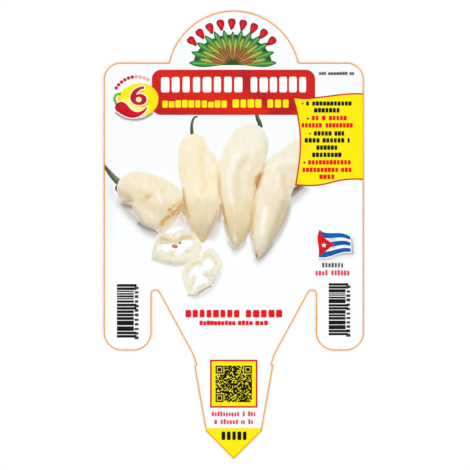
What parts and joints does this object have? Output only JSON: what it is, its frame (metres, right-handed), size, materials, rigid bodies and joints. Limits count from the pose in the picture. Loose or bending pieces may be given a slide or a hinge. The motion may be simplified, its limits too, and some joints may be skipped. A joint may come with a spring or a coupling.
{
  "type": "plant label",
  "caption": "Flat die-cut plastic plant label: domed head, two side tabs and a barbed pointed stake, with a chilli pepper print on the front.",
  "frame": {"origin": "middle of the back face's bounding box, on the surface the label lies on", "axes": "the label lies on its back: +Z points out of the printed face, +Y points at the domed top, +X points to the reader's right"},
  "size_m": [0.09, 0.1552, 0.0005],
  "materials": {
    "white_plastic": "satin",
    "printed_ink": "gloss"
  },
  "bodies": {
    "root": {"label_sheet": "white_plastic"}
  },
  "joints": []
}
